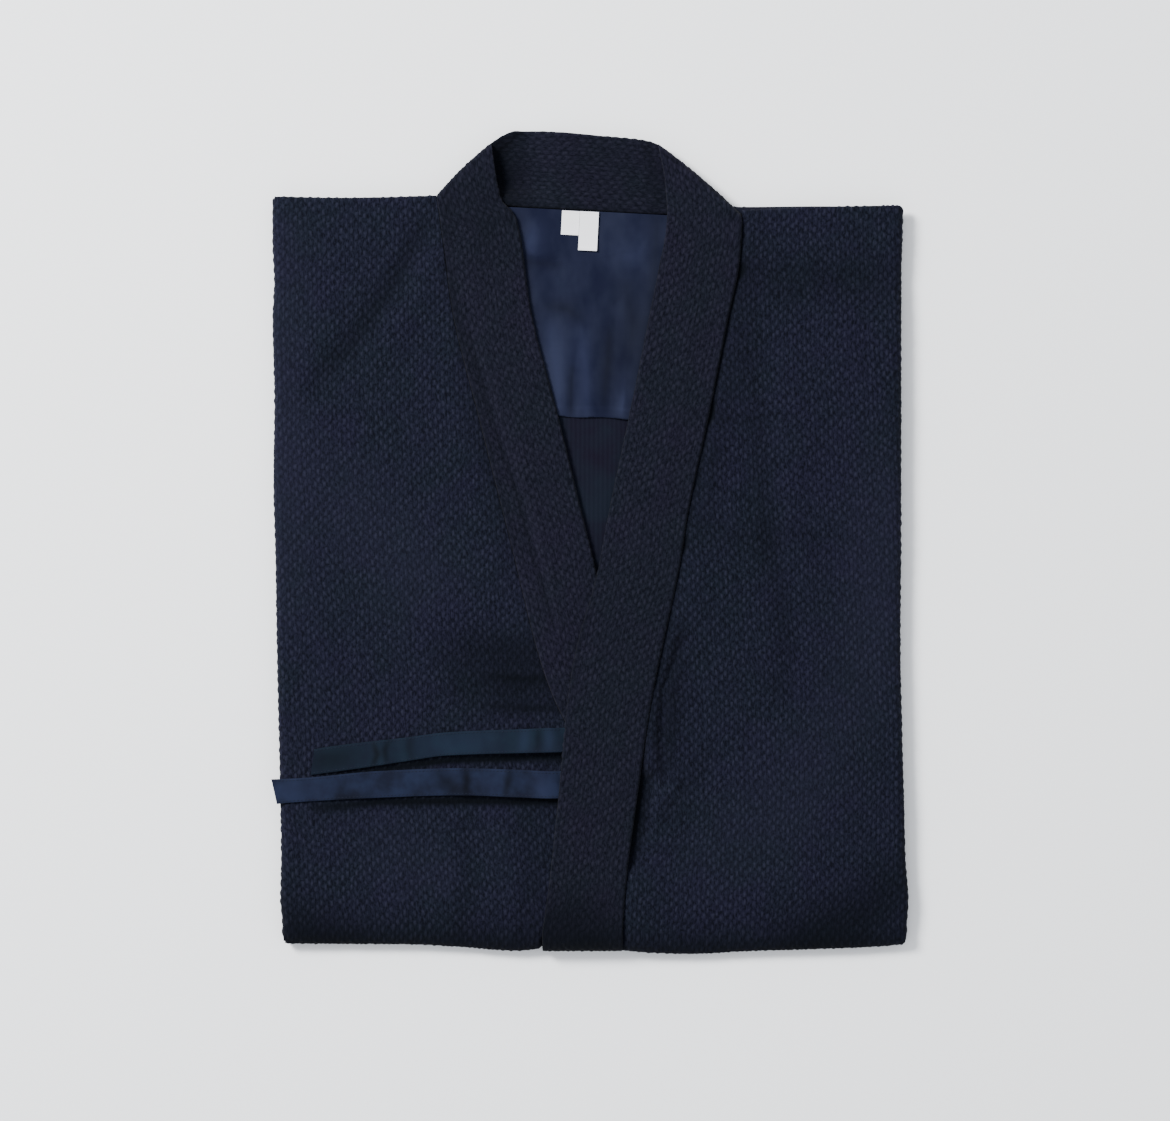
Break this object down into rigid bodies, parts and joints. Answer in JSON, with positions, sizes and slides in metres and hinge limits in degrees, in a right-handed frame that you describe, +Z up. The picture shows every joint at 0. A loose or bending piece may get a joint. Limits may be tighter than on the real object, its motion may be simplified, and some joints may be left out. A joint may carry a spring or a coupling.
{
  "type": "folded kendo jacket",
  "caption": "Quilted kendo jacket folded flat with its front up, collar crossed left over right, chest ties laid out, sleeves and skirt folded behind.",
  "frame": {"origin": "centre of the bounding box on the plane that the folded jacket rests on", "axes": "+X to the right seen from above with the collar away from the viewer, +Y towards the collar, +Z up from the surface it lies on"},
  "size_m": [0.583, 0.7538, 0.0259],
  "materials": {
    "sashiko": "matte rice-grain quilted cotton, dark indigo",
    "collar": "matte rice-grain quilted cotton, sewn in rows",
    "lining": "smooth plain-weave cotton, indigo blue",
    "tie_cotton": "smooth plain-weave cotton, indigo",
    "label_tape": "woven white tape, bare"
  },
  "bodies": {
    "root": {"folded_layers": "sashiko", "back": "sashiko", "front_right": "sashiko", "front_left": "sashiko", "collar_neck": "collar", "collar_under": "collar", "collar_over": "collar", "shoulder_lining": "lining", "tie_upper": "tie_cotton", "tie_lower": "tie_cotton", "size_label": "label_tape", "care_label": "label_tape"}
  },
  "joints": []
}
